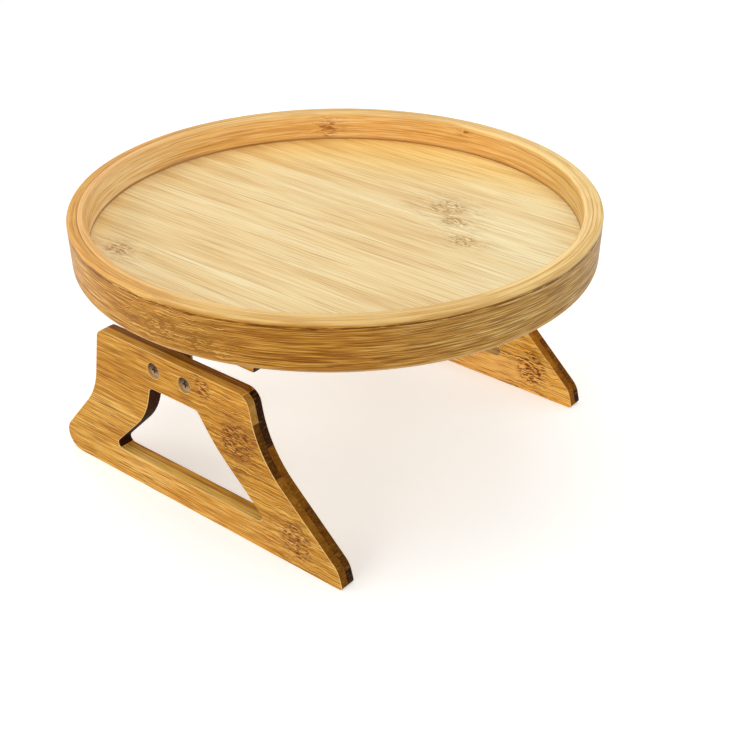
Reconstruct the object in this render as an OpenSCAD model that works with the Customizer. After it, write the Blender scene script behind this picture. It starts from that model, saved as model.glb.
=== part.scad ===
// Round bamboo sofa tray on two folding legs, in millimetres.
// X runs along the sofa arm towards the toes of the legs, Y across the arm, Z up.
// The origin is on the floor under the middle of the tray, with both legs upright.
// Paired pieces are drawn on the right (+Y) side and mirrored to the left (-Y) side.

/* [Tray] */
// Outer diameter of the tray at the top of its rim
tray_d = 250; // [235:1:320]
// Height of the rim
rim_h = 24; // [20:0.5:32]
// Thickness of the outer bent hoop
outer_hoop_t = 5; // [4:0.1:7]
// Thickness of the inner bent hoop
inner_hoop_t = 4; // [3:0.1:6]
// How far the outer wall leans in from its top to its bottom
rim_lean = 0.6; // [0:0.1:1.5]
// Rounding of the rim's outer and inner top edges
rim_top_r = 1.8; // [1:0.1:2.8]
// Rounding of the rim's bottom outer edge
rim_bottom_r = 3; // [1:0.1:3.2]
// Rounding of the seam between the two hoops, and of the inner hoop's bottom edge
seam_r = 0.5; // [0.2:0.1:1]
// Depth of the well, from the top of the rim to the floor of the tray
well_depth = 15; // [10:0.5:17]
// Thickness of the base panel
base_t = 6; // [4:0.5:8]

/* [Legs] */
// How far the outer face of a leg lies inside the edge of the tray
leg_inset = 25.7; // [22:0.1:32]
// Height of a leg
leg_h = 79.5; // [70:0.5:80]
// Overall length of a leg's foot
leg_l = 182; // [160:1:200]
// Thickness of a leg
leg_t = 8.3; // [7:0.1:10]
// How far the heel lies behind the middle of the tray
heel_back = 96.5; // [85:0.5:100]
// Gap between the top of a leg and the bottom of the rim
leg_drop = 26.5; // [24:0.5:32]

/* [Battens] */
// Length of the batten under each side of the tray
batten_l = 95; // [85:0.5:96]
// Width of a batten
batten_w = 23; // [20:0.5:26]
// Height of a batten
batten_h = 15.8; // [13:0.1:18]
// Gap between the back corner of a batten and the wall of the rim
batten_rim_gap = 1.75; // [1:0.05:3]

/* [Hinges] */
// How far the middle of the hinges lies behind the middle of the tray
hinge_back = 16; // [10:0.5:20]
// Thickness of the steel leaves
leaf_t = 1.2; // [0.8:0.1:1.6]
// Outer diameter of the hinge knuckles
knuckle_d = 6; // [5:0.1:7]
// Diameter of the hinge pin
pin_d = 3; // [2:0.1:3.5]
// Radial running clearance of the knuckles on the pin
pin_clearance = 0.05; // [0.02:0.01:0.1]
// Gap between neighbouring knuckles
knuckle_gap = 0.3; // [0.2:0.05:0.5]
// Width of the middle knuckle and of the neck that hangs from it
neck_w = 14; // [10:0.5:18]
// Width of each outer knuckle
side_knuckle_w = 10; // [8:0.5:12]
// How far the fixed leaf reaches inwards from the pin
fixed_leaf_l = 13.5; // [12:0.5:14]
// Gap between the turning knuckle and the batten
knuckle_clearance = 0.3; // [0.2:0.1:0.6]

/* [Fasteners] */
// Diameter of the leg bolts
bolt_d = 4; // [3:0.5:5]
// Distance between the two bolts of a leg
bolt_spacing = 20; // [18:0.5:24]
// Distance from the top of a leg down to its bolts
bolt_drop = 9.3; // [8:0.1:10]
// Diameter of the counterbore that sinks a bolt head
counterbore_d = 8; // [7:0.1:9]
// Depth of that counterbore
counterbore_depth = 3; // [2.5:0.1:4]
// Diameter of the bolt head
bolt_head_d = 7.2; // [6:0.1:7.6]
// Height of the bolt head
bolt_head_h = 2; // [1.5:0.1:2.4]
// Width of the nut across its flats
nut_flats = 7; // [6:0.1:8]
// Thickness of the nut
nut_t = 3.2; // [2.4:0.1:4]
// How far a bolt stands out of its nut
bolt_end = 0.6; // [0.2:0.1:1]
// Shank diameter of the screws that hold a batten to the base panel
batten_screw_d = 3.5; // [3:0.1:4]
// Length of those screws
batten_screw_l = 19.5; // [17:0.5:20]
// Diameter of their countersunk heads
batten_screw_head_d = 7; // [6:0.1:8]
// Distance from each end of a batten to its screw
batten_screw_inset = 10; // [8:0.5:12]
// Shank diameter of the screws that hold a fixed leaf
leaf_screw_d = 2.8; // [2.4:0.1:3.2]
// Length of those screws under the head
leaf_screw_l = 10; // [8:0.5:12]
// Diameter of their round heads
leaf_screw_head_d = 5.4; // [5:0.1:6]
// Height of their heads
leaf_screw_head_h = 1.3; // [1:0.1:1.6]

/* [Hidden] */
$fn = 72;

// Overrun of every cut past the face that it leaves
overrun = 0.5;
// Straight steps in each rounded corner
arc_steps = 8;
// Radial clearance of a bolt or a screw in a drilled hole
hole_clearance = 0.15;
// Screw tips and pin heads
tip_share = 0.25;
pin_head_t = 0.8;
pin_head_share = 1.45;
// Cross recess in the screw and bolt heads
drive_w = 0.9;
drive_l = 3.4;
drive_depth = 0.9;
// Margin of the moving leaf's plate round its bolts, and rounding of the leaves' corners
plate_margin = 6.5;
leaf_corner_r = 2;
// Distance between the two screws of a fixed leaf, as a share of the barrel's length
leaf_screw_spacing_share = 0.7;
// Place of those screws on the way from the pin to the leaf's inner edge
leaf_screw_place_share = 0.56;

// Levels, from the floor up
rim_z = leg_h + leg_drop;
floor_z = rim_z + rim_h - well_depth;
base_z = floor_z - base_t;
batten_z = base_z - batten_h;
pin_z = batten_z - knuckle_clearance - knuckle_d / 2;
bolt_z = leg_h - bolt_drop;

// Distances from the middle of the tray
tray_r = tray_d / 2;
seam_radius = tray_r - outer_hoop_t;
well_r = seam_radius - inner_hoop_t;
leg_outer_y = tray_r - leg_inset;
leg_y = leg_outer_y - leg_t;
leaf_y = leg_y - leaf_t;
pin_y = leg_y - leaf_t / 2;
batten_y = leg_outer_y - batten_w;
batten_back = -sqrt((well_r - batten_rim_gap) ^ 2 - leg_outer_y ^ 2);
barrel_l = neck_w + 2 * (side_knuckle_w + knuckle_gap);
batten_screw_x = [batten_back + batten_screw_inset, batten_back + batten_l - batten_screw_inset];
leaf_screw_y = pin_y - fixed_leaf_l * leaf_screw_place_share;

// Corners of a leg: share of its length from the heel, share of its height from the top,
// and rounding as a share of its height. The heel's corner lies past the heel, because
// its rounding brings it back.
leg_corner_shares = [
    [0.183, 0, 0.063],
    [0.712, 0, 0.088],
    [0.74, 0.355, 0.7],
    [0.986, 0.878, 0.146],
    [1, 1, 0.02],
    [-0.058, 1, 0.114],
    [0.146, 0.453, 0.536]
];
// Corners of the window in a leg, in the same shares
window_corner_shares = [
    [0.368, 0.249, 0.034],
    [0.537, 0.249, 0.034],
    [0.594, 0.439, 1.13],
    [0.765, 0.809, 0.034],
    [0.195, 0.809, 0.034],
    [0.343, 0.463, 0.487]
];

// Unit vector from a to b
function toward(a, b) = (b - a) / norm(b - a);

// Points that round the corner p between its neighbours a and b with radius r
function corner_arc(a, p, b, r) =
    let (u = toward(p, a))
    let (v = toward(p, b))
    let (half = acos(u * v) / 2)
    let (centre = p + toward([0, 0], u + v) * r / sin(half))
    let (first = p + u * r / tan(half) - centre)
    let (sweep = (cross(u, v) > 0 ? -1 : 1) * (180 - 2 * half))
    [for (i = [0 : arc_steps])
        let (t = sweep * i / arc_steps)
        centre + [first.x * cos(t) - first.y * sin(t), first.x * sin(t) + first.y * cos(t)]];

// Outline with every corner [x, y, radius] rounded, or kept sharp at radius zero
function rounded(corners) =
    let (n = len(corners))
    let (flat = [for (c = corners) [c.x, c.y]])
    [for (i = [0 : n - 1])
        each corners[i][2] > 0
            ? corner_arc(flat[(i + n - 1) % n], flat[i], flat[(i + 1) % n], corners[i][2])
            : [flat[i]]];

// Outline on a leg from its table of shares, with its zero at the heel and the floor
function leg_outline(shares) =
    rounded([for (s = shares) [s[0] * leg_l, (1 - s[1]) * leg_h, s[2] * leg_h]]);

// Plate from its outline in X and Z, from y outwards by its thickness
module upright_plate(outline, y, thickness) {
    translate([0, y + thickness, 0])
        rotate([90, 0, 0])
            linear_extrude(thickness)
                polygon(outline);
}

// Round bar along X, centred on the hinges' middle
module bar_x(r, length) {
    translate([-hinge_back - length / 2, pin_y, pin_z])
        rotate([0, 90, 0])
            cylinder(r = r, h = length);
}

// Round bar along Y, from y outwards, at each of the two bolts of a leg
module bolt_bars(r, y, length, sides = $fn) {
    for (side = [-1, 1])
        translate([-hinge_back + side * bolt_spacing / 2, y, bolt_z])
            rotate([-90, 0, 0])
                cylinder(r = r, h = length, $fn = sides);
}

// Cross recess at zero, cut upwards into a head that faces down
module cross_recess() {
    for (turn = [0, 90])
        rotate([0, 0, turn])
            translate([-drive_l / 2, -drive_w / 2, -overrun])
                cube([drive_l, drive_w, drive_depth + overrun]);
}

// Pointed shank from zero upwards
module screw_shank(d, length) {
    cylinder(d = d, h = length - d);
    translate([0, 0, length - d])
        cylinder(d1 = d, d2 = d * tip_share, h = d);
}

// Countersunk screw with the face of its head at zero
module countersunk_screw() {
    cylinder(d1 = batten_screw_head_d, d2 = batten_screw_d, h = (batten_screw_head_d - batten_screw_d) / 2);
    screw_shank(batten_screw_d, batten_screw_l);
}

// Each batten screw's place, in the middle of the batten's width
module at_batten_screws() {
    for (x = batten_screw_x)
        translate([x, batten_y + batten_w / 2, batten_z])
            children();
}

// Each leaf screw's place, at the underside of the batten
module at_leaf_screws() {
    for (side = [-1, 1])
        translate([-hinge_back + side * barrel_l * leaf_screw_spacing_share / 2, leaf_screw_y, batten_z])
            children();
}

module outer_hoop() {
    color("#c98f45")
        translate([0, 0, rim_z])
            rotate_extrude()
                polygon(rounded([
                    [seam_radius, 0, seam_r],
                    [tray_r - rim_lean, 0, rim_bottom_r],
                    [tray_r, rim_h, rim_top_r],
                    [seam_radius, rim_h, seam_r]
                ]));
}

module inner_hoop() {
    color("#d9a254")
        translate([0, 0, rim_z])
            rotate_extrude()
                polygon(rounded([
                    [well_r, 0, seam_r],
                    [seam_radius, 0, seam_r],
                    [seam_radius, rim_h, seam_r],
                    [well_r, rim_h, rim_top_r]
                ]));
}

module tray_base() {
    color("#ecca8a")
        difference() {
            translate([0, 0, base_z])
                cylinder(r = well_r, h = base_t);
            both_sides()
                at_batten_screws()
                    countersunk_screw();
        }
}

module batten() {
    color("#c08a45")
        difference() {
            translate([batten_back, batten_y, batten_z])
                cube([batten_l, batten_w, batten_h]);
            at_batten_screws()
                countersunk_screw();
            at_leaf_screws()
                screw_shank(leaf_screw_d, leaf_screw_l - leaf_t);
        }
}

module batten_screws() {
    color("#9a7c54")
        at_batten_screws()
            difference() {
                countersunk_screw();
                cross_recess();
            }
}

module fixed_leaf() {
    inner_y = pin_y - fixed_leaf_l;
    color("#8a6a42")
        difference() {
            union() {
                translate([-hinge_back, 0, batten_z - leaf_t])
                    linear_extrude(leaf_t)
                        polygon(rounded([
                            [-barrel_l / 2, inner_y, leaf_corner_r],
                            [barrel_l / 2, inner_y, leaf_corner_r],
                            [barrel_l / 2, pin_y, 0],
                            [-barrel_l / 2, pin_y, 0]
                        ]));
                bar_x(knuckle_d / 2, barrel_l);
            }
            bar_x(pin_d / 2 + pin_clearance, barrel_l + 2 * overrun);
            translate([
                -hinge_back - neck_w / 2 - knuckle_gap,
                pin_y - knuckle_d / 2 - knuckle_gap,
                pin_z - knuckle_d
            ])
                cube([neck_w + 2 * knuckle_gap, 2 * knuckle_d, 2 * knuckle_d]);
            at_leaf_screws()
                translate([0, 0, -leaf_t - overrun])
                    cylinder(d = leaf_screw_d + 2 * hole_clearance, h = leaf_t + 2 * overrun);
        }
}

module leaf_screws() {
    color("#9a7c54")
        at_leaf_screws()
            translate([0, 0, -leaf_t]) {
                difference() {
                    translate([0, 0, -leaf_screw_head_h])
                        cylinder(d = leaf_screw_head_d, h = leaf_screw_head_h);
                    translate([0, 0, -leaf_screw_head_h])
                        cross_recess();
                }
                screw_shank(leaf_screw_d, leaf_screw_l);
            }
}

module hinge_pin() {
    color("#8a6e4c") {
        bar_x(pin_d / 2, barrel_l + 2 * pin_head_t);
        for (side = [-1, 1])
            translate([side * (barrel_l + pin_head_t) / 2, 0, 0])
                bar_x(pin_d * pin_head_share / 2, pin_head_t);
    }
}

module moving_leaf() {
    plate_w = bolt_spacing + 2 * plate_margin;
    color("#8a6a42")
        difference() {
            union() {
                translate([-hinge_back, 0, 0])
                    upright_plate(rounded([
                        [-neck_w / 2, pin_z, 0],
                        [-neck_w / 2, bolt_z + plate_margin, leaf_corner_r],
                        [-plate_w / 2, bolt_z + plate_margin, leaf_corner_r],
                        [-plate_w / 2, bolt_z - plate_margin, leaf_corner_r],
                        [plate_w / 2, bolt_z - plate_margin, leaf_corner_r],
                        [plate_w / 2, bolt_z + plate_margin, leaf_corner_r],
                        [neck_w / 2, bolt_z + plate_margin, leaf_corner_r],
                        [neck_w / 2, pin_z, 0]
                    ]), leaf_y, leaf_t);
                bar_x(knuckle_d / 2, neck_w);
            }
            bar_x(pin_d / 2 + pin_clearance, neck_w + 2 * overrun);
            bolt_bars(bolt_d / 2 + hole_clearance, leaf_y - overrun, leaf_t + 2 * overrun);
        }
}

module leg_bolts() {
    head_y = leg_outer_y - counterbore_depth;
    end_y = leaf_y - nut_t - bolt_end;
    color("#8f8a80") {
        bolt_bars(bolt_d / 2, end_y, head_y - end_y);
        difference() {
            bolt_bars(bolt_head_d / 2, head_y, bolt_head_h);
            for (side = [-1, 1])
                translate([-hinge_back + side * bolt_spacing / 2, head_y + bolt_head_h, bolt_z])
                    rotate([90, 0, 0])
                        cross_recess();
        }
    }
}

module leg_nuts() {
    color("#b4b5b6")
        difference() {
            bolt_bars(nut_flats / sqrt(3), leaf_y - nut_t, nut_t, 6);
            bolt_bars(bolt_d / 2, leaf_y - nut_t - overrun, nut_t + 2 * overrun);
        }
}

module leg() {
    color("#cf9748")
        difference() {
            translate([-heel_back, 0, 0])
                upright_plate(leg_outline(leg_corner_shares), leg_y, leg_t);
            translate([-heel_back, 0, 0])
                upright_plate(leg_outline(window_corner_shares), leg_y - overrun, leg_t + 2 * overrun);
            bolt_bars(bolt_d / 2 + hole_clearance, leg_y - overrun, leg_t + 2 * overrun);
            bolt_bars(counterbore_d / 2, leg_outer_y - counterbore_depth, counterbore_depth + overrun);
        }
}

module left_side() {
    mirror([0, 1, 0])
        children();
}

module both_sides() {
    children();
    left_side()
        children();
}

outer_hoop();
inner_hoop();
tray_base();
left_side() batten();  // left_batten
batten();  // right_batten
left_side() batten_screws();  // left_batten_screws
batten_screws();  // right_batten_screws
left_side() fixed_leaf();  // left_fixed_leaf
fixed_leaf();  // right_fixed_leaf
left_side() leaf_screws();  // left_leaf_screws
leaf_screws();  // right_leaf_screws
left_side() hinge_pin();  // left_hinge_pin
hinge_pin();  // right_hinge_pin
left_side() moving_leaf();  // left_moving_leaf
moving_leaf();  // right_moving_leaf
left_side() leg_bolts();  // left_leg_bolts
leg_bolts();  // right_leg_bolts
left_side() leg_nuts();  // left_leg_nuts
leg_nuts();  // right_leg_nuts
left_side() leg();  // left_leg
leg();  // right_leg
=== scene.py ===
# %% [markdown]
# # A round bamboo tray for the arm of a sofa
# The tray has a rim of two bent bamboo hoops round a pale bamboo floor. Under it, two thin
# legs hang from steel hinges and go down the sides of the sofa arm. The engineering model
# already holds every size, so this lesson only dresses it: it gives the wood softer edges,
# paints each finish with nodes, and sets up a camera and soft light.

# %% Load the fixed model
import bpy
import bmesh
import math
from mathutils import Matrix, Vector


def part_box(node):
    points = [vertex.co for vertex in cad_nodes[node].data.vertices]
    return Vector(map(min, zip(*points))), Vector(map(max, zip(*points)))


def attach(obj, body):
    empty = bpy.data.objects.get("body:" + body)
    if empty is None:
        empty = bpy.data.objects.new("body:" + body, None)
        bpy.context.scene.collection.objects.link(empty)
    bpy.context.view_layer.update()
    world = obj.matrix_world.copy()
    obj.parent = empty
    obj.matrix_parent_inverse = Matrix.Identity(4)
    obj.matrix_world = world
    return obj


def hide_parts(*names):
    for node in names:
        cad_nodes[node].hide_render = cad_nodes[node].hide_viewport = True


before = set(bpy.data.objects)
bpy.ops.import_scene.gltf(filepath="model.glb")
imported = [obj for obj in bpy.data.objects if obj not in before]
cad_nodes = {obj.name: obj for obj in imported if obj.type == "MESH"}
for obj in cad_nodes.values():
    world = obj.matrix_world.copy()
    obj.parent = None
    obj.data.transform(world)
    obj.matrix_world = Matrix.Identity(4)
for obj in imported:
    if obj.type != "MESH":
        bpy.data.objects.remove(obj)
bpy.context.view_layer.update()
MM = 0.001


def box_mm(node):
    """Lower and upper corner of a node of the model, in millimetres."""
    low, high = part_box(node)
    return low / MM, high / MM


# %% [markdown]
# ## The camera
# The viewpoint was worked out from the photograph: the rim's circles become ellipses, and
# their shapes give the height, distance and focal length of the lens. A camera in Blender
# looks along its own -Z, so its matrix is made of the picture's right, up and backward
# directions. The slight roll belongs to the photograph.

# %% Place the camera
PHOTO_SIDE = 736
FOCAL_PX = 1266.1
EYE = Vector((361.7, -420.9, 364.8)) * MM
AIM = Vector((34.7, -19.0, 57.3)) * MM
ROLL = math.radians(-0.16)

lens = bpy.data.cameras.new("photo_camera")
lens.sensor_width = 36
lens.lens = FOCAL_PX * lens.sensor_width / PHOTO_SIDE
camera = bpy.data.objects.new("photo_camera", lens)
bpy.context.scene.collection.objects.link(camera)
back = (EYE - AIM).normalized()
right = Vector((0, 0, 1)).cross(back).normalized()
up = back.cross(right)
turned = Matrix((right, up, back)).transposed() @ Matrix.Rotation(ROLL, 3, "Z")
camera.matrix_world = Matrix.Translation(EYE) @ turned.to_4x4()
bpy.context.scene.camera = camera
print("lens in mm:", round(lens.lens, 1), "distance in mm:", round((EYE - AIM).length / MM))

# %% [markdown]
# ## Small helpers for materials
# Screens store colours with a curve, and the shader mixes them without it. One function
# turns a written colour, such as #E8C27C, into the shader's values. The next one adds a
# node, sets it up and fills its inputs, from a number, a colour or another node. The last
# one starts a material with nothing in it but its output.

# %% Colour and node helpers
def linear(code):
    """The shader's values for a colour written as on screen."""
    parts = [int(code[i:i + 2], 16) / 255 for i in (1, 3, 5)]
    return tuple(c / 12.92 if c <= 0.04045 else ((c + 0.055) / 1.055) ** 2.4 for c in parts) + (1.0,)


def add(tree, kind, inputs=(), **settings):
    """A new node with its settings, its inputs filled with values, sockets or nodes."""
    new = tree.nodes.new("ShaderNode" + kind)
    for name, value in settings.items():
        setattr(new, name, value)
    for name, value in dict(inputs).items():
        if isinstance(value, bpy.types.Node):
            value = next(o for o in value.outputs if o.enabled)
        if isinstance(value, bpy.types.NodeSocket):
            tree.links.new(value, new.inputs[name])
        else:
            new.inputs[name].default_value = value
    return new


def new_material(name):
    """An empty material: its node tree, and its surface socket to link a shader to."""
    material = bpy.data.materials.new(name)
    material.use_nodes = True
    material.node_tree.nodes.clear()
    out = add(material.node_tree, "OutputMaterial")
    return material, material.node_tree, out.inputs["Surface"]


WHITE = linear("#FFFFFF")
print("white is", WHITE, "and mid grey is", round(linear("#808080")[0], 3))

# %% [markdown]
# ## The world
# The photograph is a cut-out on white. The camera therefore sees a white world, and so do
# the rays that come through gloss and glass, while the light that the world gives to the
# wood stays at its own, lower level. A Light Path node tells the two kinds of ray apart.

# %% A white world
WORLD_LEVEL = 0.45


def seen_rays(tree):
    """1 for the rays that show a background: the camera's, and those from gloss and glass."""
    rays = add(tree, "LightPath")
    seen = rays.outputs["Is Camera Ray"]
    for kind in ("Is Glossy Ray", "Is Transmission Ray"):
        seen = add(tree, "Math", {0: seen, 1: rays.outputs[kind]}, operation="MAXIMUM")
    return seen


bpy.context.scene.view_settings.view_transform = "Standard"
world = bpy.data.worlds.new("white_studio")
bpy.context.scene.world = world
world.use_nodes = True
tree = world.node_tree
tree.nodes.clear()
level = add(tree, "MapRange", {"Value": seen_rays(tree), "To Min": WORLD_LEVEL, "To Max": 1.0})
sky = add(tree, "Background", {"Color": WHITE, "Strength": level})
add(tree, "OutputWorld", {"Surface": sky})
print("the world lights at", WORLD_LEVEL, "and is seen at 1")

# %% [markdown]
# ## The lamps
# In the photograph the rim's top and the floor of the tray are bright, and the side towards
# the camera is the darkest. A wide lamp overhead gives most of that. Lamps on the left, in
# front and on the right fill in the walls and the legs. Together with the world they bring
# a level face to about the brightness of its written colour.

# %% Four soft lamps
LAMP_AIM = Vector((0, 0, 0.08))
# Place and width in metres, power in watts
LAMPS = {"overhead_lamp": ((-0.3, 0.3, 1.5), 1.4, 8.0), "left_lamp": ((-1.1, -0.9, 0.9), 1.0, 7.0),
         "right_lamp": ((1.3, -0.1, 0.9), 1.0, 4.5), "front_lamp": ((0.1, -1.5, 0.4), 0.8, 7.0)}

for name, (place, width, power) in LAMPS.items():
    lamp = bpy.data.lights.new(name, "AREA")
    lamp.size = width
    lamp.energy = power
    holder = bpy.data.objects.new(name, lamp)
    bpy.context.scene.collection.objects.link(holder)
    away = (Vector(place) - LAMP_AIM).normalized()
    holder.matrix_world = Matrix.Translation(place) @ away.to_track_quat("Z", "Y").to_matrix().to_4x4()
print("lamps:", len(LAMPS), "with", sum(power for place, width, power in LAMPS.values()), "W")

# %% [markdown]
# ## The paper on the ground
# The tray stands on matt paper, which takes its shadow. For the camera the paper glows a
# little, so that it comes out white like the photograph's background. Far from the tray it
# turns wholly white, and no horizon shows.

# %% Paper floor
PAPER_SIZE = 4.0
PAPER_GLOW = 0.42
GROUND_PALE, GROUND_WHITE = 0.5, 1.1

material, tree, surface = new_material("matt_paper_floor")
paper = add(tree, "BsdfDiffuse", {"Color": linear("#EDEDEB")})
glow = add(tree, "Emission", {"Color": WHITE, "Strength": PAPER_GLOW})
lifted = add(tree, "AddShader", {0: paper, 1: glow})
far_off = add(tree, "VectorMath", {0: add(tree, "TexCoord").outputs["Object"]}, operation="LENGTH")
far_off = add(tree, "MapRange", {"Value": far_off, "From Min": GROUND_PALE, "From Max": GROUND_WHITE},
              interpolation_type="SMOOTHSTEP")
white = add(tree, "Emission", {"Color": WHITE, "Strength": 1.0})
lifted = add(tree, "MixShader", {"Fac": far_off, 1: lifted, 2: white})
shown = add(tree, "MixShader", {"Fac": seen_rays(tree), 1: paper, 2: lifted})
tree.links.new(shown.outputs[0], surface)

bm = bmesh.new()
bmesh.ops.create_grid(bm, x_segments=1, y_segments=1, size=PAPER_SIZE)
floor_mesh = bpy.data.meshes.new("studio_floor")
bm.to_mesh(floor_mesh)
bm.free()
floor = bpy.data.objects.new("studio_floor", floor_mesh)
floor_mesh.materials.append(material)
bpy.context.scene.collection.objects.link(floor)
print("the paper turns white from", GROUND_PALE, "to", GROUND_WHITE, "m away")

# %% [markdown]
# ## What bamboo looks like
# Bamboo boards are glued from long strips split out of the stalk. Their fibres run the full
# length, so every mark is a thin line along the strip, and each strip has its own tone.
# Where the stalk had a ring, the fibres knot into a short band of small dark dashes. The
# tray shows all three, so one recipe paints them for every wooden piece, from a place given
# in millimetres as along, across and into the wood. On a bent hoop, along is the way round,
# counted from the point opposite the joint, so that the pattern breaks off where the two
# ends of the real strip meet.

# %% Where a point lies in the grain
def place_mm(tree):
    """A point's place on its piece, in millimetres."""
    place = add(tree, "TexCoord").outputs["Object"]
    return add(tree, "VectorMath", {0: place, "Scale": 1 / MM}, operation="SCALE")


def board_grain(tree, axes):
    """Along, across and depth of a flat board, as three of its axes in that order."""
    split = add(tree, "SeparateXYZ", {0: place_mm(tree)})
    return add(tree, "CombineXYZ", {i: split.outputs["XYZ".index(a)] for i, a in enumerate(axes)})


def hoop_grain(tree, radius, joint_angle):
    """The same for a bent hoop: the way round it, its height, and the distance from its middle."""
    turned = add(tree, "VectorRotate", {"Vector": place_mm(tree), "Angle": math.pi - joint_angle},
                 rotation_type="Z_AXIS")
    split = add(tree, "SeparateXYZ", {0: turned})
    angle = add(tree, "Math", {0: split.outputs["Y"], 1: split.outputs["X"]}, operation="ARCTAN2")
    round_it = add(tree, "Math", {0: angle, 1: radius}, operation="MULTIPLY")
    flat = add(tree, "VectorMath", {0: turned, 1: (1, 1, 0)}, operation="MULTIPLY")
    out_from = add(tree, "VectorMath", {0: flat}, operation="LENGTH")
    return add(tree, "CombineXYZ", {0: round_it, 1: split.outputs["Z"], 2: out_from})


print("a place in the grain is along, across and depth, in mm")

# %% [markdown]
# ## How a pattern gets onto the wood
# Every pattern here is noise, stretched to the size of the real mark. A smooth step turns
# it into a share between two levels, and the share decides how much of a second colour
# comes through. The same step also works on a place, and then it limits a tone to a part
# of the piece. Multiplying keeps the grain visible where a tone drifts, while a plain mix
# covers it.

# %% Noise, steps and paint
def stretched_noise(tree, place, sizes, detail, roughness=0.5):
    """Noise around 0.5 whose specks have these sizes in mm along the three ways of the grain."""
    scaled = add(tree, "VectorMath", {0: place, 1: tuple(1 / size for size in sizes)}, operation="MULTIPLY")
    noise = add(tree, "TexNoise", {"Vector": scaled, "Scale": 1.0, "Detail": detail, "Roughness": roughness})
    return noise.outputs["Fac"]


def faded(tree, *steps, most=1.0):
    """The most, where each step's value has passed from its first level to its second."""
    share = most
    for value, nothing, full in steps:
        step = add(tree, "MapRange", {"Value": value, "From Min": nothing, "From Max": full},
                   interpolation_type="SMOOTHSTEP")
        share = add(tree, "Math", {0: step, 1: share}, operation="MULTIPLY")
    return share


def paint(tree, colour, other, *steps, most=1.0, blend="MIX"):
    """The colour blended with another one, as far as the steps let it through."""
    if isinstance(other, str):
        other = linear(other)
    share = faded(tree, *steps, most=most)
    return add(tree, "Mix", {0: share, 6: colour, 7: other}, data_type="RGBA", blend_type=blend)


def layer(tree, colour, value, tone, levels, share):
    """The colour covered by a tone, up to a share, where the value passes between two levels."""
    return paint(tree, colour, tone, (value, *levels), most=share)


def drifted(tree, colour, drifts, **ways):
    """The colour multiplied by each drift's red, green and blue, over its stretches in mm."""
    for (red, green, blue), *stretches in drifts:
        steps = [(ways[way], start, end) for way, start, end in stretches]
        colour = paint(tree, colour, (red, green, blue, 1.0), *steps, blend="MULTIPLY")
    return colour


print("pattern helpers ready")

# %% [markdown]
# ## Strips and plies
# A board is a stack of plies, and each ply is a row of strips. Rounding the place down to
# whole strips and plies gives each of them a number. White noise turns that number into a
# tone, and into a shift that takes the strip's pattern from another part of the stalk. Where
# the photograph shows which strip is dark, a list of tones takes the place of chance.

# %% Which strip a point is in
# Keeps the numbers of strips in different plies apart
PLY_KEY = 7.3
# How far apart on the stalk two strips may come from, in mm
STALK = (900, 90, 90)


def strip_pattern(tree, grain, strip_w, strip_shift=0.0, ply=50.0, ply_start=0.0, tones=()):
    """Distance to the nearest seam in mm, the strip's tone, and its own shift in mm."""
    split = add(tree, "SeparateXYZ", {0: grain})
    in_ply = add(tree, "Math", {0: split.outputs["Z"], 1: -ply_start}, operation="ADD")
    in_ply = add(tree, "Math", {0: in_ply, 1: ply}, operation="DIVIDE")
    in_ply = add(tree, "Math", {0: in_ply}, operation="FLOOR")
    # The plies lie with their strips half a width apart
    shift = add(tree, "Math", {0: in_ply, 1: strip_w / 2, 2: strip_shift}, operation="MULTIPLY_ADD")
    across = add(tree, "Math", {0: split.outputs["Y"], 1: shift}, operation="ADD")
    seam = add(tree, "Math", {0: across, 1: strip_w / 2}, operation="PINGPONG")
    strip = add(tree, "Math", {0: across, 1: strip_w}, operation="DIVIDE")
    strip = add(tree, "Math", {0: strip}, operation="FLOOR")
    which = add(tree, "Math", {0: in_ply, 1: PLY_KEY, 2: strip}, operation="MULTIPLY_ADD")
    chance = add(tree, "TexWhiteNoise", {"W": which}, noise_dimensions="1D")
    slide = add(tree, "VectorMath", {0: chance.outputs["Color"], 1: STALK}, operation="MULTIPLY")
    if not tones:
        return seam, chance.outputs["Value"], slide
    # A listed strip has its ply in the tens of its number, and its place in the units
    number = add(tree, "Math", {0: in_ply, 1: 10.0, 2: strip}, operation="MULTIPLY_ADD")
    own_tone = 0.5
    for listed, tone in tones.items():
        here = add(tree, "Math", {0: number, 1: float(listed), 2: 0.1}, operation="COMPARE")
        own_tone = add(tree, "Math", {0: here, 1: tone - 0.5, 2: own_tone}, operation="MULTIPLY_ADD")
    return seam, own_tone, slide


print("strip patterns are taken from", STALK[0], "mm of stalk")

# %% [markdown]
# ## Fibres and growth rings
# The fibres wander a little, and swing wide round a growth ring. So the place in the grain
# is first bent sideways by slow noise, more strongly near a ring, and all the fine lines are
# then drawn in that bent place. A ring's mark is given by its middle and its half length
# and half width in millimetres. Because the noise is solid, the same fibres show as dots
# where a cut crosses them.

# %% Bent fibres
# Size of the slow noise in mm, and the span in mm of the sway away from a ring and at one
SWAY_SIZE = (5, 20 / 7, 20 / 7)
SWAY, RING_SWAY = 0.15, 2.5
# The bend reaches this many times further out than the ring's mark
RING_REACH = 2.2
FIBRE_ROUGHNESS = 0.55


def near_marks(tree, grain, marks, reach=1.0):
    """1 in the middle of each growth ring's mark, falling to 0 at its edge times the reach."""
    near = 0.0
    for along, across, half_length, half_width in marks:
        away = add(tree, "VectorMath", {0: grain, 1: (along, across, 0)}, operation="SUBTRACT")
        scale = (1 / (half_length * reach), 1 / (half_width * reach), 0)
        away = add(tree, "VectorMath", {0: away, 1: scale}, operation="MULTIPLY")
        away = add(tree, "VectorMath", {0: away}, operation="LENGTH")
        near = add(tree, "Math", {0: faded(tree, (away, 1.0, 0.5)), 1: near}, operation="MAXIMUM")
    return near


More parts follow.
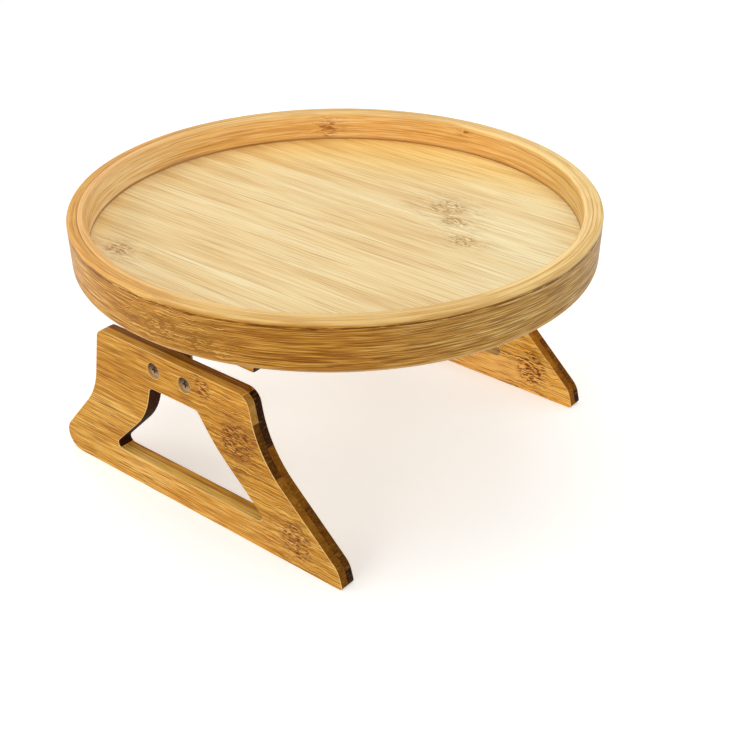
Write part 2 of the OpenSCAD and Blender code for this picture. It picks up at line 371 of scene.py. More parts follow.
def bent_wood(tree, grain, slide, around):
    """The place in the grain, with the strip's own shift, bent round the growth rings."""
    sway = stretched_noise(tree, grain, SWAY_SIZE, 2.0)
    sway = add(tree, "Math", {0: sway, 1: -0.5}, operation="ADD")
    reach = add(tree, "Math", {0: around, 1: RING_SWAY, 2: SWAY}, operation="MULTIPLY_ADD")
    bend = add(tree, "CombineXYZ", {1: add(tree, "Math", {0: sway, 1: reach}, operation="MULTIPLY")})
    wood = add(tree, "VectorMath", {0: grain, 1: slide}, operation="ADD")
    return add(tree, "VectorMath", {0: wood, 1: bend}, operation="ADD")


def fibre_lines(tree, wood, length, width, detail=1.0):
    """Noise drawn out along the grain, in lines of that length and width in mm."""
    return stretched_noise(tree, wood, (length, width, width), detail, FIBRE_ROUGHNESS)


print("fibres swing", round(RING_SWAY / SWAY), "times wider round a ring")

# %% [markdown]
# ## How large the marks are
# The pattern has several sizes. Soft bands some 3 mm wide give the wood its broad drift of
# tone. Streaks of about 1 mm are the bundles of fibre that catch the eye. Fibres under half
# a millimetre are as fine as the picture can show, and a little coarser than the real ones.
# Over them lie long reddish veins, short dark hairlines, the glue lines between the strips,
# and the dashes of the growth rings.

# %% Sizes of the marks in the wood
BAND_L, STREAK_L, FIBRE_L = 90, 40, 14
# Between these distances from the seam, in mm, the glue line comes in
GLUE_FADE, GLUE_SHARE = (0.3, 0.05), 0.35
# Each mark's length and width in mm, and the two levels of noise between which it fades in
VEIN, VEIN_FADE = (75, 1.3), (0.58, 0.74)
HAIR_FADE = (0.58, 0.66)
DASH, DASH_FADE, DASH_SHARE = (3.2, 0.6), (0.48, 0.55), 0.95
TRAIL, TRAIL_FADE, TRAIL_SHARE = (11, 0.8), (0.46, 0.64), 0.35
print("marks in mm: veins", VEIN, "dashes", DASH, "and their trails", TRAIL)

# %% [markdown]
# ## Tone of the wood, and its growth rings
# The bands, streaks and fibres are added up to one tone, and each strip shifts it by its
# own. A picture of bamboo could be laid on instead, but it would repeat, and would end at the
# edges of the boards, while sums of noise run on through the wood. The dashes of a growth
# ring are drawn only where its mark lies, and fainter trails run out of them.

# %% Tone and dashes
def wood_tone(tree, wood, own_tone, tone, contrast, strips, widths):
    """The tone from bands, streaks, fibres and the strip's own, with the two finer noises."""
    bands = fibre_lines(tree, wood, BAND_L, widths[0], 2.0)
    streaks = fibre_lines(tree, wood, STREAK_L, widths[1], 2.0)
    fibres = fibre_lines(tree, wood, FIBRE_L, widths[2])
    for part, share in zip((bands, streaks, fibres, own_tone), (*contrast, strips)):
        part = add(tree, "Math", {0: part, 1: -0.5}, operation="ADD")
        tone = add(tree, "Math", {0: part, 1: share, 2: tone}, operation="MULTIPLY_ADD")
    return tone, streaks, fibres


def ring_dashes(tree, grain, wood, marks, around):
    """A share for the rings' dark dashes, and for the fainter trails that run out of them."""
    dash = 0.0
    inside = near_marks(tree, grain, marks)
    for size, fade, share, where in ((DASH, DASH_FADE, DASH_SHARE, inside),
                                     (TRAIL, TRAIL_FADE, TRAIL_SHARE, around)):
        line = faded(tree, (fibre_lines(tree, wood, *size), *fade), most=share)
        line = add(tree, "Math", {0: line, 1: where}, operation="MULTIPLY")
        dash = add(tree, "Math", {0: line, 1: dash}, operation="MAXIMUM")
    return dash


print("dashes cover up to", DASH_SHARE, "of the wood, trails up to", TRAIL_SHARE)

# %% [markdown]
# ## The surface
# The real wood has a satin lacquer, thin enough to follow the fibres a little, and its
# streaks differ slightly in gloss. Modelled fibres would need millions of faces, so the
# same noise only bends the light, as a bump. The plated steel is built up in the same way,
# so one function ends both kinds of material.

# %% Lacquer and plating
LACQUER_IOR = 1.5
# What the lowest and highest streaks add to the roughness, then the relief with its depth in mm
LACQUER_GLOSS = 0.08, -0.06
FIBRE_HEIGHT, DASH_HEIGHT, LACQUER_DEPTH = 0.5, -0.6, 0.12


def coat(tree, surface, colour, patches, roughness, spread, height, strength, depth, look):
    """Links the shader: the patches vary its roughness, and the height its relief, in mm."""
    gloss = add(tree, "MapRange", {"Value": patches, "To Min": roughness + spread[0],
                                   "To Max": roughness + spread[1]})
    bumps = add(tree, "Bump", {"Height": height, "Strength": strength, "Distance": depth * MM})
    shader = add(tree, "BsdfPrincipled", {"Base Color": colour, "Roughness": gloss, "Normal": bumps, **look})
    tree.links.new(shader.outputs[0], surface)


print("lacquer IOR", LACQUER_IOR, "and relief", LACQUER_DEPTH, "mm")

# %% [markdown]
# ## The recipe for bamboo
# Every wooden piece of the tray is cut from the same kind of board, so one recipe paints
# them all, and only its sizes and colours differ. A colour ramp turns the tone into wood.
# The marks are painted over it one by one, and the shading of the piece itself comes last.

# %% One recipe for all bamboo finishes
def bamboo(name, grain_of, ramp, board, marks=(), mark_tone="#7A4A1E", vein_tone="#B97F4A", vein=0.5,
           hair_tone="#8A5526", hair=0.4, hair_size=(22, 0.5), contrast=(0.9, 0.7, 0.6), strips=0.3,
           tone=0.5, widths=(4.0, 1.0, 0.45), roughness=0.42, relief=0.25, shine=0.25, shade=None):
    """Satin lacquered bamboo: the ramp is a list of places from 0 to 1 and colours."""
    material, tree, surface = new_material(name)
    grain = grain_of(tree)
    seam, own_tone, slide = strip_pattern(tree, grain, **board)
    around = near_marks(tree, grain, marks, RING_REACH)
    wood = bent_wood(tree, grain, slide, around)
    tone, streaks, fibres = wood_tone(tree, wood, own_tone, tone, contrast, strips, widths)
    colour = add(tree, "ValToRGB", {"Fac": tone})
    while len(colour.color_ramp.elements) < len(ramp):
        colour.color_ramp.elements.new(0.5)
    for stop, (place, code) in zip(colour.color_ramp.elements, ramp):
        stop.position = place
        stop.color = linear(code)
    # Veins, hairlines, and the glue line between two strips
    colour = layer(tree, colour, fibre_lines(tree, wood, *VEIN), vein_tone, VEIN_FADE, vein)
    colour = layer(tree, colour, fibre_lines(tree, wood, *hair_size, 0.0), hair_tone, HAIR_FADE, hair)
    colour = layer(tree, colour, seam, hair_tone, GLUE_FADE, GLUE_SHARE)
    height = add(tree, "Math", {0: fibres, 1: FIBRE_HEIGHT, 2: streaks}, operation="MULTIPLY_ADD")
    if marks:
        dash = ring_dashes(tree, grain, wood, marks, around)
        colour = paint(tree, colour, mark_tone, most=dash)
        height = add(tree, "Math", {0: dash, 1: DASH_HEIGHT, 2: height}, operation="MULTIPLY_ADD")
    if shade:
        colour = shade(tree, grain, colour)
    coat(tree, surface, colour, streaks, roughness, LACQUER_GLOSS, height, relief, LACQUER_DEPTH,
         {"IOR": LACQUER_IOR, "Specular IOR Level": shine})
    return material


print("bamboo recipe ready")

# %% [markdown]
# ## Tones of the rim
# The rim was steamed until its sugar turned brown, which gives it a honey tone. Sanding left
# its top paler than its walls, with the thin plies showing as rings, and a thin ragged dark
# line runs a little under the outer edge. In the photograph the tone also drifts from one
# side of the tray to the other. Part of that drift is painted light: a painted highlight on
# the right of the top, a painted reflection greying the outer wall to the right, and painted
# light and shade round the inner wall. Each drift is written down as a tint and the stretch
# over which it grows.

# %% Sanded top and walls of the rim
rim_bottom, rim_top = box_mm("outer_hoop")[0].z, box_mm("outer_hoop")[1].z
floor_top = box_mm("tray_base")[1].z
TO_RIGHT, TO_BACK = (0.78, 0.62, 0), (-0.35, 0.94, 0)
# The plies that show as rings are 0.7 mm thick, and the dark line's rags are 6 mm long
RING_SIZE = (100 / 3, 20, 2 / 3)
RAG_SIZE, RAG_FADE = (6.25, 5 / 6, 5 / 6), (0.36, 0.5)
LINE_DROP, LINE_FADE, LINE_WAVER = 2.7, (0.45, 0.3), 1.3
LINE_TONE, LINE_SHARE = "#643408", 0.9
TOP_TONE, TOP_HEIGHTS, TOP_SHARE = "#F2CC84", (rim_top - 2.0, rim_top - 0.9), 0.75
# Layers: a tone, the levels or heights in mm between which it comes in, and its share
RINGS = "#CC9850", (0.45, 0.59), 0.65
BOTTOM_EDGE = "#E6BC86", (rim_bottom + 2.4, rim_bottom + 1.4), 0.5
# A painted contact shadow, darkening the inner wall just above the floor
FLOOR_CORNER_SHADE = "#8A5520", (floor_top + 2.0, floor_top + 0.2), 0.7
# The top is deeper to the left, and paler to the right as a painted highlight. The outer wall is paler and
# greyer towards the front left, and greyer still to the right as a painted reflection. The inner wall is
# paler on the left and at the back as painted light, and darker at the back right as painted shade.
# Factors of red, green and blue, then the way and the places in mm where they start and are full
TOP_TONE_AND_HIGHLIGHT_DRIFTS = [((0.93, 0.74, 0.54), ("right", -40, -105)), ((1.18, 1.26, 1.4), ("right", 30, 100))]
OUTER_TONE_AND_REFLECTION_DRIFTS = [((1.3, 1.48, 2.4), ("along", 40, -28)), ((1.2, 1.62, 3.8), ("along", 40, 135))]
INNER_LIGHT_AND_SHADE_DRIFTS = [((1.06, 1.25, 1.75), ("along", 70, 165), ("along", 255, 195)),
                ((1.1, 1.16, 1.3), ("along", -25, 20)), ((0.87, 0.98, 1.08), ("along", -60, -150))]


def sanded_top(tree, grain, colour):
    """Paler wood on top of the rim, where sanding laid the edges of the thin plies bare."""
    pale = layer(tree, linear(TOP_TONE), stretched_noise(tree, grain, RING_SIZE, 2.0), *RINGS)
    sideways = add(tree, "VectorMath", {0: place_mm(tree), 1: TO_RIGHT}, operation="DOT_PRODUCT")
    # painted highlight: the top turns paler towards the right
    pale = drifted(tree, pale, TOP_TONE_AND_HIGHLIGHT_DRIFTS, right=sideways)
    height = add(tree, "SeparateXYZ", {0: grain}).outputs["Y"]
    return layer(tree, colour, height, pale, TOP_HEIGHTS, TOP_SHARE)


def outer_wall(tree, grain, colour):
    """The sanded top, with a ragged dark line under it, drifts of tone with a painted reflection to the
    right, and a paler bottom edge.
    """
    split = add(tree, "SeparateXYZ", {0: grain})
    height = split.outputs["Y"]
    rags = stretched_noise(tree, grain, RAG_SIZE, 2.0)
    wavering = add(tree, "Math", {0: rags, 1: LINE_WAVER, 2: height}, operation="MULTIPLY_ADD")
    line_z = rim_top - LINE_DROP + LINE_WAVER / 2
    off_line = add(tree, "Math", {0: wavering, 1: -line_z}, operation="ADD")
    off_line = add(tree, "Math", {0: off_line}, operation="ABSOLUTE")
    colour = paint(tree, colour, LINE_TONE, (off_line, *LINE_FADE), (rags, *RAG_FADE), most=LINE_SHARE)
    # drifts of tone, and a painted reflection that greys the wall towards the right
    colour = drifted(tree, colour, OUTER_TONE_AND_REFLECTION_DRIFTS, along=split.outputs["X"])
    colour = layer(tree, colour, height, *BOTTOM_EDGE)
    return sanded_top(tree, grain, colour)


def inner_wall(tree, grain, colour):
    """The sanded top, painted light and shade round the wall, and a painted contact shadow where the wall
    meets the floor.
    """
    split = add(tree, "SeparateXYZ", {0: grain})
    # painted light and shade: paler on the left and at the back, darker at the back right
    colour = drifted(tree, colour, INNER_LIGHT_AND_SHADE_DRIFTS, along=split.outputs["X"])
    # painted shade where the wall meets the floor
    colour = layer(tree, colour, split.outputs["Y"], *FLOOR_CORNER_SHADE)
    return sanded_top(tree, grain, colour)


print("rim from", round(rim_bottom, 1), "to", round(rim_top, 1), "mm, floor at", round(floor_top, 1))

# %% [markdown]
# ## Bamboo for the tray
# The floor of the tray is natural bamboo, nearly straw yellow, and paler on the right. Its
# back is painted warmer, as painted light bounced from the orange rim. Each hoop is bent
# from a single strip, so its strip width is set far wider than the rim. The growth rings
# lie where the photograph shows them.

# %% Finishes of the tray
# A ramp goes from the darkest wood at 0 to the palest at 1
PANEL_RAMP = [(0.0, "#CC9E5C"), (0.3, "#E6C283"), (0.5, "#F1D498"), (0.72, "#F7DFA8"), (1.0, "#FBE9BA")]
HOOP_RAMP = [(0.0, "#633608"), (0.3, "#965D16"), (0.5, "#B27624"), (0.72, "#C68F38"), (1.0, "#DAAE5E")]
INNER_RAMP = [(0.0, "#B87C34"), (0.3, "#DEA450"), (0.5, "#ECBA6C"), (0.72, "#F4CA88"), (1.0, "#FADAA2")]
# The floor's warmer back is painted bounce light from the rim, and the floor is also paler on the right
FLOOR_TONE_AND_BOUNCE_DRIFTS = [((1.05, 0.94, 0.64), ("back", 40, 112)), ((1.05, 1.16, 1.32), ("right", 20, 100))]
ONE_STRIP = dict(strip_w=600.0, strip_shift=300.0)
# Where the ends of each hoop meet, and the radius in mm at which its length is measured
OUTER_JOINT, INNER_JOINT = math.radians(105), math.radians(-60)
OUTER_BEND_R, INNER_BEND_R = 125, 116
# Place along and across the grain, half length and half width, in mm
panel_marks = [(30, 50, 13, 11), (42, 38, 10, 8), (57, 23, 10, 7), (-61, -83, 11, 7)]
outer_marks = [(-21, rim_bottom + 11, 15, 8), (-2, rim_bottom + 9, 11, 7)]
inner_marks = [(25, rim_top - 9, 7, 6), (-52, rim_top - 3, 5, 1.6)]


def floor_tone_and_bounce(tree, grain, colour):
    """Warmer towards the back of the floor as painted bounce light from the rim, and paler on the right."""
    back_way = add(tree, "VectorMath", {0: grain, 1: TO_BACK}, operation="DOT_PRODUCT")
    right_way = add(tree, "VectorMath", {0: grain, 1: TO_RIGHT}, operation="DOT_PRODUCT")
    return drifted(tree, colour, FLOOR_TONE_AND_BOUNCE_DRIFTS, back=back_way, right=right_way)


floor_bamboo = bamboo(
    "natural_bamboo_panel", lambda tree: board_grain(tree, "XYZ"), PANEL_RAMP, dict(strip_w=23.0),
    marks=panel_marks, mark_tone="#AE8040", vein_tone="#DDAE68", vein=0.35, hair_tone="#BC8C4E", hair=0.5,
    hair_size=(40, 0.42), contrast=(1.15, 0.22, 0.3), widths=(8.0, 0.9, 0.4), strips=0.26, relief=0.08,
    shade=floor_tone_and_bounce)
outer_bamboo = bamboo(
    "carbonised_bamboo_outer_hoop", lambda tree: hoop_grain(tree, OUTER_BEND_R, OUTER_JOINT),
    HOOP_RAMP, ONE_STRIP,
    marks=outer_marks, mark_tone="#865412", vein_tone="#93601F", hair_tone="#74400E", hair=0.75,
    hair_size=(18, 0.36), contrast=(0.3, 0.9, 1.5), widths=(2.5, 0.6, 0.34), strips=0.0, shine=0.1,
    shade=outer_wall)
inner_bamboo = bamboo(
    "carbonised_bamboo_inner_hoop", lambda tree: hoop_grain(tree, INNER_BEND_R, INNER_JOINT),
    INNER_RAMP, ONE_STRIP,
    marks=inner_marks, mark_tone="#A0622A", vein_tone="#BF8244", hair_tone="#B07436", hair=0.45,
    hair_size=(30, 0.6), contrast=(0.7, 0.7, 0.8), widths=(3.0, 0.8, 0.4), strips=0.0, shade=inner_wall)
print("tray finishes:", [m.name for m in (floor_bamboo, outer_bamboo, inner_bamboo)])

# %% [markdown]
# ## Bamboo for the legs
# A leg is cut from a board of two plies, each glued from strips 23 mm wide. On its face the
# strip with the upper growth ring is the darkest. The saw crosses the fibres, so the cut
# edges are dark and show the two plies side by side, strip by strip, and the window's edge
# is painted nearly black as painted shade over the dark cut. Sanding left each arris paler,
# and a painted highlight makes it a bright pale line.

# %% Strips and tones of the legs
LEG_RAMP = [(0.0, "#7E480C"), (0.3, "#B3751D"), (0.5, "#CE902E"), (0.72, "#DDA748"), (1.0, "#EFC472")]
SIDE_RAMP = [(0.0, "#5E3610"), (0.3, "#A46C24"), (0.5, "#D69830"), (0.72, "#EAB246"), (1.0, "#F8CE70")]
END_RAMP = [(0.0, "#220E02"), (0.25, "#522E06"), (0.5, "#925C12"), (0.75, "#B48032"), (1.0, "#D6B070")]
# Arrises and bolt-hole walls: paler sanded wood with a painted highlight
ARRIS_WEAR_AND_HIGHLIGHT_RAMP = [(0.0, "#C89248"), (0.4, "#EABC6C"), (0.6, "#F4CC80"), (1.0, "#FADE9E")]
# The window's cut edge, painted nearly black as painted shade
WINDOW_SHADE_RAMP = [(0.0, "#1C0A04"), (0.5, "#341808"), (1.0, "#5A3012")]
STRIP_W, STRIP_SHIFT = 23.0, 3.5
PLY_W = 4.25
LOW_SEAM, TOP_SEAM = STRIP_W - STRIP_SHIFT, 3 * STRIP_W - STRIP_SHIFT
SEAM_BLUR = 0.2
leg_marks = [(59, 15, 12, 14), (26, 53, 15, 14), (6, 73, 6, 7)]
# Tones by ply and strip: the tens are the ply, the units the strip counted from the foot
face_tones = {0: 0.8, 1: 0.72, 2: 0.39, 3: 0.45, 10: 0.5, 11: 0.4, 12: 0.6, 13: 0.35, 14: 0.6}
side_tones = {0: 0.9, 1: 0.9, 2: 0.7, 3: 0.75, 10: 0.4, 11: 0.45, 12: 0.4, 13: 0.2, 14: 0.25}
end_tones = {0: 0.42, 1: 0.52, 2: 0.28, 3: 0.8, 10: 0.05, 11: 0.3, 12: 0.42, 13: 0.06, 14: 0.06}
# The top strip pales towards the toe, and the foot strip in the middle of its length
LEG_DRIFTS = [((1.2, 1.25, 1.45), ("up", TOP_SEAM - SEAM_BLUR, TOP_SEAM + SEAM_BLUR), ("along", -5, 20)),
              ((1.12, 1.14, 1.45), ("up", LOW_SEAM + SEAM_BLUR, LOW_SEAM - SEAM_BLUR),
               ("along", -70, -20), ("along", 85, 35))]
print("strips in a leg:", STRIP_W, "mm wide, seams at", LOW_SEAM, "to", TOP_SEAM, "mm")

# %% [markdown]
# The five finishes of a leg share its board: face, end grain, arris, side grain and the
# window's edge in painted shade. Each leg's face and cut ends are lifted by painted light of
# their own, and the far leg's face is also given a paler tone, because the far one is lighter
# in the photograph than the tray's shade would leave it.

# %% Finishes of the legs
SAW_TICK_SIZE = (0.8, 0.8, 5)
SAW_TICKS = "#B98C4A", (0.58, 0.74), 0.25
# The first ply starts this far outside the face, so that the face lies safely in it
PLY_MARGIN = 0.1


def saw_marks(tree, grain, colour):
    """Pale ticks where the saw's teeth crossed the fibres."""
    return layer(tree, colour, stretched_noise(tree, grain, SAW_TICK_SIZE, 1.0), *SAW_TICKS)


def leg_finishes(side, outer_ply, tone, painted_light):
    """Face, end grain, arris, side grain and window of a leg whose first ply starts at that Y."""
    board = dict(strip_w=STRIP_W, strip_shift=STRIP_SHIFT, ply=PLY_W, ply_start=outer_ply - PLY_MARGIN)

    # painted light: the face and the cut ends are multiplied by this leg's own tint
    def face_shade(tree, grain, colour):
        split = add(tree, "SeparateXYZ", {0: grain})
        colour = drifted(tree, colour, LEG_DRIFTS, along=split.outputs["X"], up=split.outputs["Y"])
        return drifted(tree, colour, [(painted_light,)])

    def end_shade(tree, grain, colour):
        return drifted(tree, saw_marks(tree, grain, colour), [(painted_light,)])

    def cut(name, ramp, tones=(), **look):
        return bamboo(name, lambda tree: board_grain(tree, "XZY"), ramp, {**board, "tones": tones}, **look)

    return [
        cut(f"carbonised_bamboo_{side}_leg", LEG_RAMP, face_tones, marks=leg_marks, strips=0.4,
            mark_tone="#6E3206", vein_tone="#A0641E", hair_tone="#7E480E", hair=0.7, hair_size=(14, 0.42),
            contrast=(0.8, 0.8, 1.2), shine=0.12, tone=tone, shade=face_shade),
        cut(f"cut_bamboo_{side}_leg_end_grain", END_RAMP, end_tones, strips=1.0, vein=0.2,
            vein_tone="#3A1E0A", hair=0.2, hair_tone="#3A1E0A", contrast=(0.3, 0.3, 0.3), roughness=0.6,
            shine=0.06, shade=end_shade),
        # The arris: paler sanded wood with a painted highlight
        cut(f"worn_and_highlit_bamboo_{side}_leg_arris", ARRIS_WEAR_AND_HIGHLIGHT_RAMP, strips=0.1, vein=0.2, hair=0.2,
            contrast=(0.6, 0.4, 0.3), roughness=0.4),
        cut(f"cut_bamboo_{side}_leg_side_grain", SIDE_RAMP, side_tones, strips=1.0, vein_tone="#6A3E14",
            hair_tone="#5E3410", contrast=(0.7, 0.7, 0.6), roughness=0.5),
        # The window's edge: dark end grain in painted shade
        cut(f"painted_shade_bamboo_{side}_leg_window", WINDOW_SHADE_RAMP, contrast=(0.3, 0.3, 0.3),
            vein_tone="#2A1206", hair_tone="#2A1206", roughness=0.6, shine=0.04)]


print("leg finishes ready: 5 for each leg")

# %% [markdown]
# ## Bamboo for the battens
# The battens under the tray are plain sanded blocks of the same bamboo, glued from narrower
# strips. Their ends are raw end grain, which open fibres make dark, and painted shade makes
# them nearly black, as they lie in the tray's shadow.

# %% Finishes of the battens
# Batten ends: dark end grain, painted nearly black as painted shade
BATTEN_END_GRAIN_AND_SHADE_RAMP = [(0.0, "#140804"), (0.5, "#2E1608"), (1.0, "#4E2C12")]
BATTEN_BOARD = dict(strip_w=11.5, ply=5.3)
batten_bamboo = bamboo("sanded_bamboo_batten", lambda tree: board_grain(tree, "XYZ"), LEG_RAMP, BATTEN_BOARD,
                       vein_tone="#9A6330", roughness=0.6)
batten_end_grain_and_shade = bamboo("cut_and_shaded_bamboo_batten_end", lambda tree: board_grain(tree, "XYZ"), BATTEN_END_GRAIN_AND_SHADE_RAMP,
                           BATTEN_BOARD, vein_tone="#200E06", hair_tone="#200E06", roughness=0.6)
print("batten strips:", BATTEN_BOARD["strip_w"], "mm wide")

# %% [markdown]
# ## Steel for the hinges and fasteners
# The leaves are pressed from sheet steel with a dull bronze plating, the pins are drawn
# wire, and the screws and bolts are turned or rolled. Plating leaves faint cloudy patches,
# and drawing leaves fine lines along the wire. The bolt heads sit in their holes, and their
# upper half is painted browner as painted shade, standing in for the shadow of the hole's edge.
# These parts are small and mostly hidden, but they show when the tray is turned over.

# %% Steel finishes
# What the scratches' lowest and highest add to the roughness, then the relief with its depth in mm
STEEL_GLOSS, STEEL_RELIEF, STEEL_DEPTH = (-0.1, 0.12), 0.15, 0.03
# The painted shade on the bolt heads comes in from this far below its height to this far above, in mm
HOLE_SHADE_TONE, HOLE_SHADE_BELOW, HOLE_SHADE_ABOVE, HOLE_SHADE_SHARE = "#3E2416", 2.5, 2, 0.85


def plated_steel(name, base, cloud, cloud_size, brush, roughness, shaded_above=None):
    """Metal with cloudy plating, brush lines in mm along X, Y and Z, and painted shade above a height."""
    material, tree, surface = new_material(name)
    place = place_mm(tree)
    clouds = stretched_noise(tree, place, (cloud_size,) * 3, 3.0)
    scratches = stretched_noise(tree, place, brush, 2.0)
    colour = paint(tree, linear(base), cloud, most=clouds)
    # painted shade: the upper half of the bolt heads is darkened, as if shaded by the hole's edge
    if shaded_above:
        height = add(tree, "SeparateXYZ", {0: place}).outputs["Z"]
        levels = shaded_above - HOLE_SHADE_BELOW, shaded_above + HOLE_SHADE_ABOVE
        colour = layer(tree, colour, height, HOLE_SHADE_TONE, levels, HOLE_SHADE_SHARE)
    coat(tree, surface, colour, scratches, roughness, STEEL_GLOSS, scratches, STEEL_RELIEF, STEEL_DEPTH,
         {"Metallic": 1.0})
    return material


leaf_steel = plated_steel("bronze_plated_sheet_steel", "#8A6A42", "#6A4A28", 4, (6, 0.4, 0.4), 0.42)
pin_steel = plated_steel("bronze_plated_steel_wire", "#8A6E4C", "#6E5032", 3, (8, 0.3, 0.3), 0.36)
screw_steel = plated_steel("bronze_plated_screw_steel", "#9A7C54", "#785A34", 2, (0.4, 0.4, 5), 0.4)
bolt_low, bolt_high = box_mm("left_leg_bolts")
bolt_z = (bolt_low.z + bolt_high.z) / 2
# The bolts take painted shade above their middle height
bolt_steel = plated_steel("dull_nickel_plated_steel", "#C4A880", "#8A6C50", 1.6, (0.4, 5, 0.4), 0.55, bolt_z)
print("steel finishes: 4, bolts at a height of", round(bolt_z, 1), "mm")

# %% [markdown]
# ## Pieces from the model, with eased edges
# The model's own solids have knife-sharp edges, which never catch light. A merged copy of
# a solid keeps its exact shape. Flat areas are dissolved back to single faces, and only the
# real edges are then bevelled, by a fraction of a millimetre. Weighted normals keep
# the flat faces flat.

# %% Helpers for pieces
SHARP = math.radians(38)
MERGE = 0.002 * MM
SAME_FACE = math.radians(0.5)


def merged_copy(node):
    """The shape of a CAD solid as a bmesh with shared corners and whole flat faces."""
    bm = bmesh.new()
    bm.from_mesh(cad_nodes[node].data)
    bmesh.ops.remove_doubles(bm, verts=bm.verts, dist=MERGE)
    bmesh.ops.dissolve_limit(bm, angle_limit=SAME_FACE, verts=bm.verts, edges=bm.edges, delimit=set())
    bmesh.ops.recalc_face_normals(bm, faces=bm.faces)
    return bm


def sharp_edges(bm, test):
    """Edges where the surface turns, and that pass the test."""
    return [e for e in bm.edges if len(e.link_faces) == 2 and e.calc_face_angle(0) > SHARP and test(e)]


def ease(bm, edges, width, segments=2):
    """Rounds those edges by a width in mm, and returns the new faces."""
    made = bmesh.ops.bevel(bm, geom=edges, offset=width * MM, offset_type="OFFSET", segments=segments,
                           profile=0.5, affect="EDGES", clamp_overlap=True, material=-1)
    return made["faces"]


def finish_piece(name, bm, body, nodes, materials):
    """A mesh object that rides on its body and stands for its CAD nodes."""
    mesh = bpy.data.meshes.new(name)
    bm.to_mesh(mesh)
    bm.free()
    mesh.polygons.foreach_set("use_smooth", [True] * len(mesh.polygons))
    mesh.set_sharp_from_angle(angle=SHARP)
    for material in materials:
        mesh.materials.append(material)
    piece = bpy.data.objects.new(name, mesh)
    bpy.context.scene.collection.objects.link(piece)
    weighted = piece.modifiers.new("flat faces stay flat", "WEIGHTED_NORMAL")
    weighted.keep_sharp = True
    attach(piece, body)
    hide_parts(*nodes)
    return piece


print("helpers ready, edges sharper than", round(math.degrees(SHARP)), "degrees are eased")

# %% [markdown]
# ## The rim
# The real rim is a strip of bamboo bent into a ring, with a second ring glued inside it. A
# spin fits that best: four corners of the section are turned once round the upright axis,
# and the four rings of edges are then bevelled, each by its own rounding.

# %% Two bent hoops
TOP_ROUND, BOTTOM_ROUND, SEAM_ROUND = 1.8, 3.0, 0.5
WALL_LEAN = 0.6
SPIN_STEPS = 240
# Roundings over this size in mm get more steps than the small ones
WIDE_ROUND, WIDE_STEPS, SMALL_STEPS = 1, 8, 3
AT_CORNER = 0.01
OUTER_R = box_mm("outer_hoop")[1].x
SEAM_R = box_mm("inner_hoop")[1].x
WELL_R = box_mm("tray_base")[1].x


def bent_hoop(name, corners, material):
    """A ring from its section: each corner is a radius, a height and a rounding in mm."""
    bm = bmesh.new()
    verts = [bm.verts.new((r * MM, 0, z * MM)) for r, z, rounding in corners]
    edges = [bm.edges.new((verts[i], verts[(i + 1) % len(verts)])) for i in range(len(verts))]
    bmesh.ops.spin(bm, geom=verts + edges, cent=(0, 0, 0), axis=(0, 0, 1), angle=math.tau,
                   steps=SPIN_STEPS, use_merge=True)
    bmesh.ops.recalc_face_normals(bm, faces=bm.faces)
    for r, z, rounding in corners:
        on_corner = {v for v in bm.verts
                     if abs(v.co.z / MM - z) < AT_CORNER and abs(v.co.xy.length / MM - r) < AT_CORNER}
        ring = [e for e in bm.edges if on_corner.issuperset(e.verts)]
        ease(bm, ring, rounding, WIDE_STEPS if rounding > WIDE_ROUND else SMALL_STEPS)
    return finish_piece(name, bm, "tray", [name], [material])


outer = bent_hoop(
    "outer_hoop", [(SEAM_R, rim_bottom, SEAM_ROUND), (OUTER_R - WALL_LEAN, rim_bottom, BOTTOM_ROUND),
                   (OUTER_R, rim_top, TOP_ROUND), (SEAM_R, rim_top, SEAM_ROUND)],
    outer_bamboo)
inner = bent_hoop(
    "inner_hoop", [(WELL_R, rim_bottom, SEAM_ROUND), (SEAM_R, rim_bottom, SEAM_ROUND),
                   (SEAM_R, rim_top, SEAM_ROUND), (WELL_R, rim_top, TOP_ROUND)],
    inner_bamboo)
print("faces in the hoops:", len(outer.data.polygons), len(inner.data.polygons))

# %% [markdown]
# ## The legs
# The outline and the window come from the model as they are. Each face of the leg is then
# told apart by the way it looks and where it lies, and takes one of the five finishes. The
# walls of the bolt holes take the arrises' finish: the drill leaves clean, pale wood, and a
# painted highlight brightens them further.

# %% Which finish a face of a leg takes
# The arris finish is paler sanded wood with a painted highlight, and the window's is dark end grain in
# painted shade
FACE, END, ARRIS_WEAR_AND_HIGHLIGHT, SIDE, WINDOW_SHADE = range(5)
# A face looks along an axis when its normal has more than this share of it
FLAT = 0.9
# The bolt holes' walls lie this far in mm above and below the bolts' middle, and beside their heads
BOLT_REACH, BOLT_MARGIN = 5, 1
# Box round the window, and a point inside it, in mm along the leg and up
WINDOW_LOW, WINDOW_HIGH = Vector((-57.5, 0, 15.0)), Vector((41.0, 0, 61.1))
WINDOW_MIDDLE = Vector((-5.0, 0, 32.0))


def near_bolts(point, bolts):
    """Whether a point in mm lies at the holes of two bolts, given as their box."""
    low, high = bolts
    beside = low.x - BOLT_MARGIN < point.x < high.x + BOLT_MARGIN
    return beside and abs(point.z - (low.z + high.z) / 2) < BOLT_REACH


def leg_finish(face, bolts):
    """The number of a face's finish, by the way it looks and where it lies."""
    if abs(face.normal.y) > FLAT:
        return FACE
    middle = face.calc_center_median() / MM
    if near_bolts(middle, bolts):
        return ARRIS_WEAR_AND_HIGHLIGHT
    if abs(face.normal.z) > FLAT:
        return SIDE
    in_window = WINDOW_LOW.x < middle.x < WINDOW_HIGH.x and WINDOW_LOW.z < middle.z < WINDOW_HIGH.z
    towards_middle = (WINDOW_MIDDLE - middle).dot(face.normal) > 0
    return WINDOW_SHADE if in_window and towards_middle else END


print("finishes of a leg:", WINDOW_SHADE + 1)

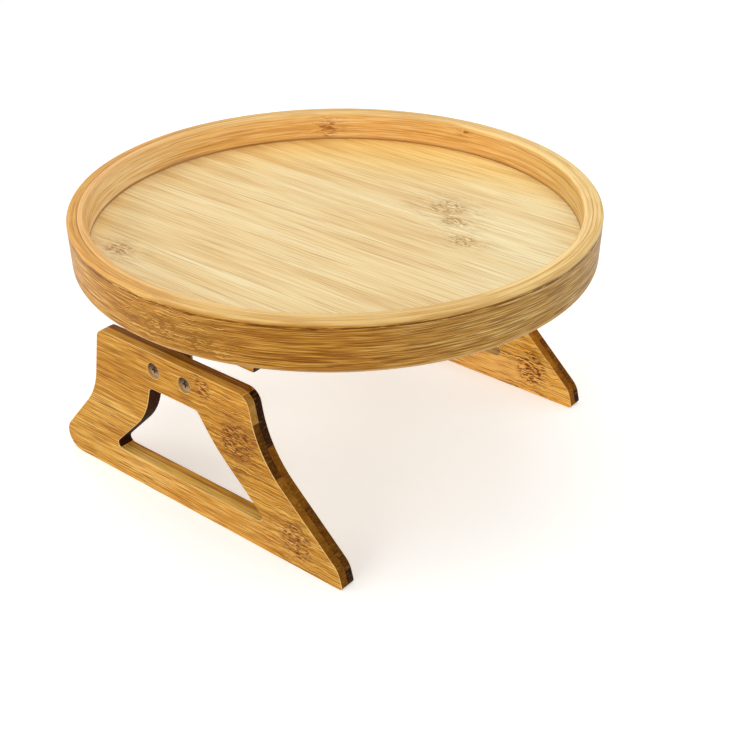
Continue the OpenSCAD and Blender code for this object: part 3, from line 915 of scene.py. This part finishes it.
# %% [markdown]
# Only edges that lie in one of the leg's two broad faces are eased, so the outline keeps
# its clean corners. The edges round the bolt holes are small, and take one step less.

# %% Two legs
ARRIS_W = 0.6
ARRIS_STEPS, HOLE_STEPS = 3, 2
ON_FACE = 0.01


def leg_piece(side, tone, painted_light):
    """A leg with eased arrises, and a finish for each kind of its faces."""
    name = f"{side}_leg"
    bm = merged_copy(name)
    low, high = box_mm(name)
    bolts = box_mm(f"{side}_leg_bolts")

    def on_face(edge):
        return any(all(abs(v.co.y / MM - y) < ON_FACE for v in edge.verts) for y in (low.y, high.y))

    def at_hole(edge):
        return all(near_bolts(v.co / MM, bolts) for v in edge.verts)

    for face in bm.faces:
        face.material_index = leg_finish(face, bolts)
    for wanted, steps in ((False, ARRIS_STEPS), (True, HOLE_STEPS)):
        edges = sharp_edges(bm, lambda e: on_face(e) and at_hole(e) == wanted)
        for face in ease(bm, edges, ARRIS_W, steps):
            face.material_index = ARRIS_WEAR_AND_HIGHLIGHT
    return finish_piece(name, bm, name, [name], leg_finishes(side, low.y, tone, painted_light))


left_leg = leg_piece("left", 0.5, (1.0, 1.0, 1.0))
# The right leg takes a paler tone and a tint of painted light against the tray's shade
right_leg = leg_piece("right", 0.85, (1.3, 1.15, 0.86))
print("faces in the legs:", len(left_leg.data.polygons), len(right_leg.data.polygons))

# %% [markdown]
# ## Battens, and the floor of the tray
# The battens are plain blocks, so a merged copy with eased edges is enough, with darker
# ends where the saw crossed the fibres, darkened further by painted shade. Their screw holes
# stay sharp, because only edges longer than 5 mm are eased. The floor of the tray is only
# seen as a flat disc inside the rim. The model's own mesh is already right for that, and it
# only takes its finish.

# %% Battens and floor
LONG_EDGE = 5 * MM
for side in ("left", "right"):
    bm = merged_copy(f"{side}_batten")
    for face in bm.faces:
        # The ends take the end grain with painted shade
        face.material_index = 1 if abs(face.normal.x) > FLAT else 0
    ease(bm, sharp_edges(bm, lambda e: e.calc_length() > LONG_EDGE), ARRIS_W, 2)
    finish_piece(f"{side}_batten", bm, "tray", [f"{side}_batten"],
                 [batten_bamboo, batten_end_grain_and_shade])

cad_nodes["tray_base"].material_slots[0].material = floor_bamboo
print("battens eased, floor painted")

# %% [markdown]
# ## Hinges and fasteners
# These come from the model as they are, because their knuckles, heads and recesses already
# have their real sizes. They only take their steel.

# %% Steel parts
steel_of = {"fixed_leaf": leaf_steel, "moving_leaf": leaf_steel, "hinge_pin": pin_steel,
            "leaf_screws": screw_steel, "batten_screws": screw_steel, "leg_bolts": bolt_steel,
            "leg_nuts": bolt_steel}
for side in ("left", "right"):
    for part, steel in steel_of.items():
        cad_nodes[f"{side}_{part}"].material_slots[0].material = steel
print("steel parts:", 2 * len(steel_of))
